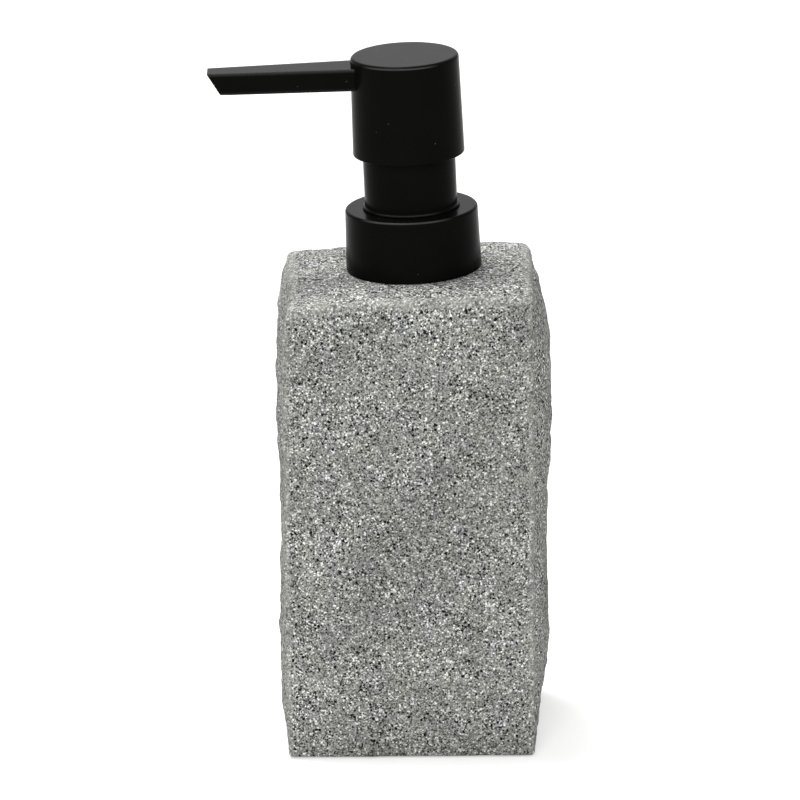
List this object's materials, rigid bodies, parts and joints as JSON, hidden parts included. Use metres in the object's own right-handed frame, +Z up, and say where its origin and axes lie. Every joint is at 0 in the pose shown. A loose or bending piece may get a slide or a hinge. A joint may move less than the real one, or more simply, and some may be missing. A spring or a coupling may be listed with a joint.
{
  "type": "soap pump dispenser",
  "caption": "Tall square stone-look bottle with rock-faced sides and a matte black push pump: screw collar, fixed sleeve, round head and a long level nozzle cut on the slant.",
  "frame": {"origin": "middle of the foam pad's underside, on the surface that the bottle stands on", "axes": "+Z up, -Y towards the front, -X the way the nozzle points at rest"},
  "size_m": [0.0912, 0.0653, 0.1873],
  "materials": {
    "cast_stone": "matt, speckled granite look",
    "cast_plate": "matt",
    "foam_pad": "matt foam",
    "white_plastic": "moulded satin",
    "natural_plastic": "moulded satin",
    "soft_washer": "matt",
    "clear_tube": "milky",
    "black_plastic": "matt black",
    "spring_steel": "bright wire",
    "ball_steel": "polished"
  },
  "bodies": {
    "bottle": {"bottle_body": "cast_stone", "base_plate": "cast_plate", "base_pad": "foam_pad", "neck_insert": "white_plastic"},
    "washer": {"gasket": "soft_washer"},
    "pump_unit": {"pump_housing": "natural_plastic", "guide_cap": "natural_plastic", "neck_sleeve": "black_plastic", "ball_cage": "natural_plastic", "dip_tube": "clear_tube", "return_spring": "spring_steel"},
    "collar": {"collar_shell": "black_plastic", "threaded_ring": "white_plastic"},
    "inlet_valve": {"inlet_ball": "ball_steel"},
    "stem_unit": {"stem": "natural_plastic", "piston_rod": "natural_plastic"},
    "piston_seal": {"piston": "natural_plastic"},
    "head": {"head_shell": "black_plastic", "head_core": "white_plastic", "nozzle": "black_plastic"}
  },
  "joints": [
    {"name": "pump_lift", "type": "slide", "parent": "bottle", "child": "washer", "axis": [-0.0366, 0, 0.9993], "range_m": [0, 0.14]},
    {"name": "thread_rise", "type": "slide", "parent": "washer", "child": "pump_unit", "axis": [-0.0366, 0, 0.9993], "range_m": [0, 0.00424]},
    {"name": "collar_turn", "type": "hinge", "parent": "pump_unit", "child": "collar", "pos_m": [0.0012, 0, 0.1285], "axis": [-0.0366, 0, 0.9993], "range_deg": [0, 360]},
    {"name": "press", "type": "slide", "parent": "pump_unit", "child": "stem_unit", "axis": [0.0366, 0, -0.9993], "range_m": [0, 0.012], "stiffness_N_per_m": 600, "springref_m": -0.012, "deforming": ["return_spring"]},
    {"name": "head_turn", "type": "hinge", "parent": "stem_unit", "child": "head", "pos_m": [0.0012, 0, 0.1285], "axis": [-0.0366, 0, 0.9993], "continuous": true},
    {"name": "piston_shift", "type": "slide", "parent": "stem_unit", "child": "piston_seal", "axis": [-0.0366, 0, 0.9993], "range_m": [0, 0.0012]},
    {"name": "ball_rise", "type": "slide", "parent": "pump_unit", "child": "inlet_valve", "axis": [-0.0366, 0, 0.9993], "range_m": [0, 0.0012]}
  ],
  "couplings": [
    {"joint": "thread_rise", "follows": "collar_turn", "m_per_rad": 0.00067323}
  ]
}
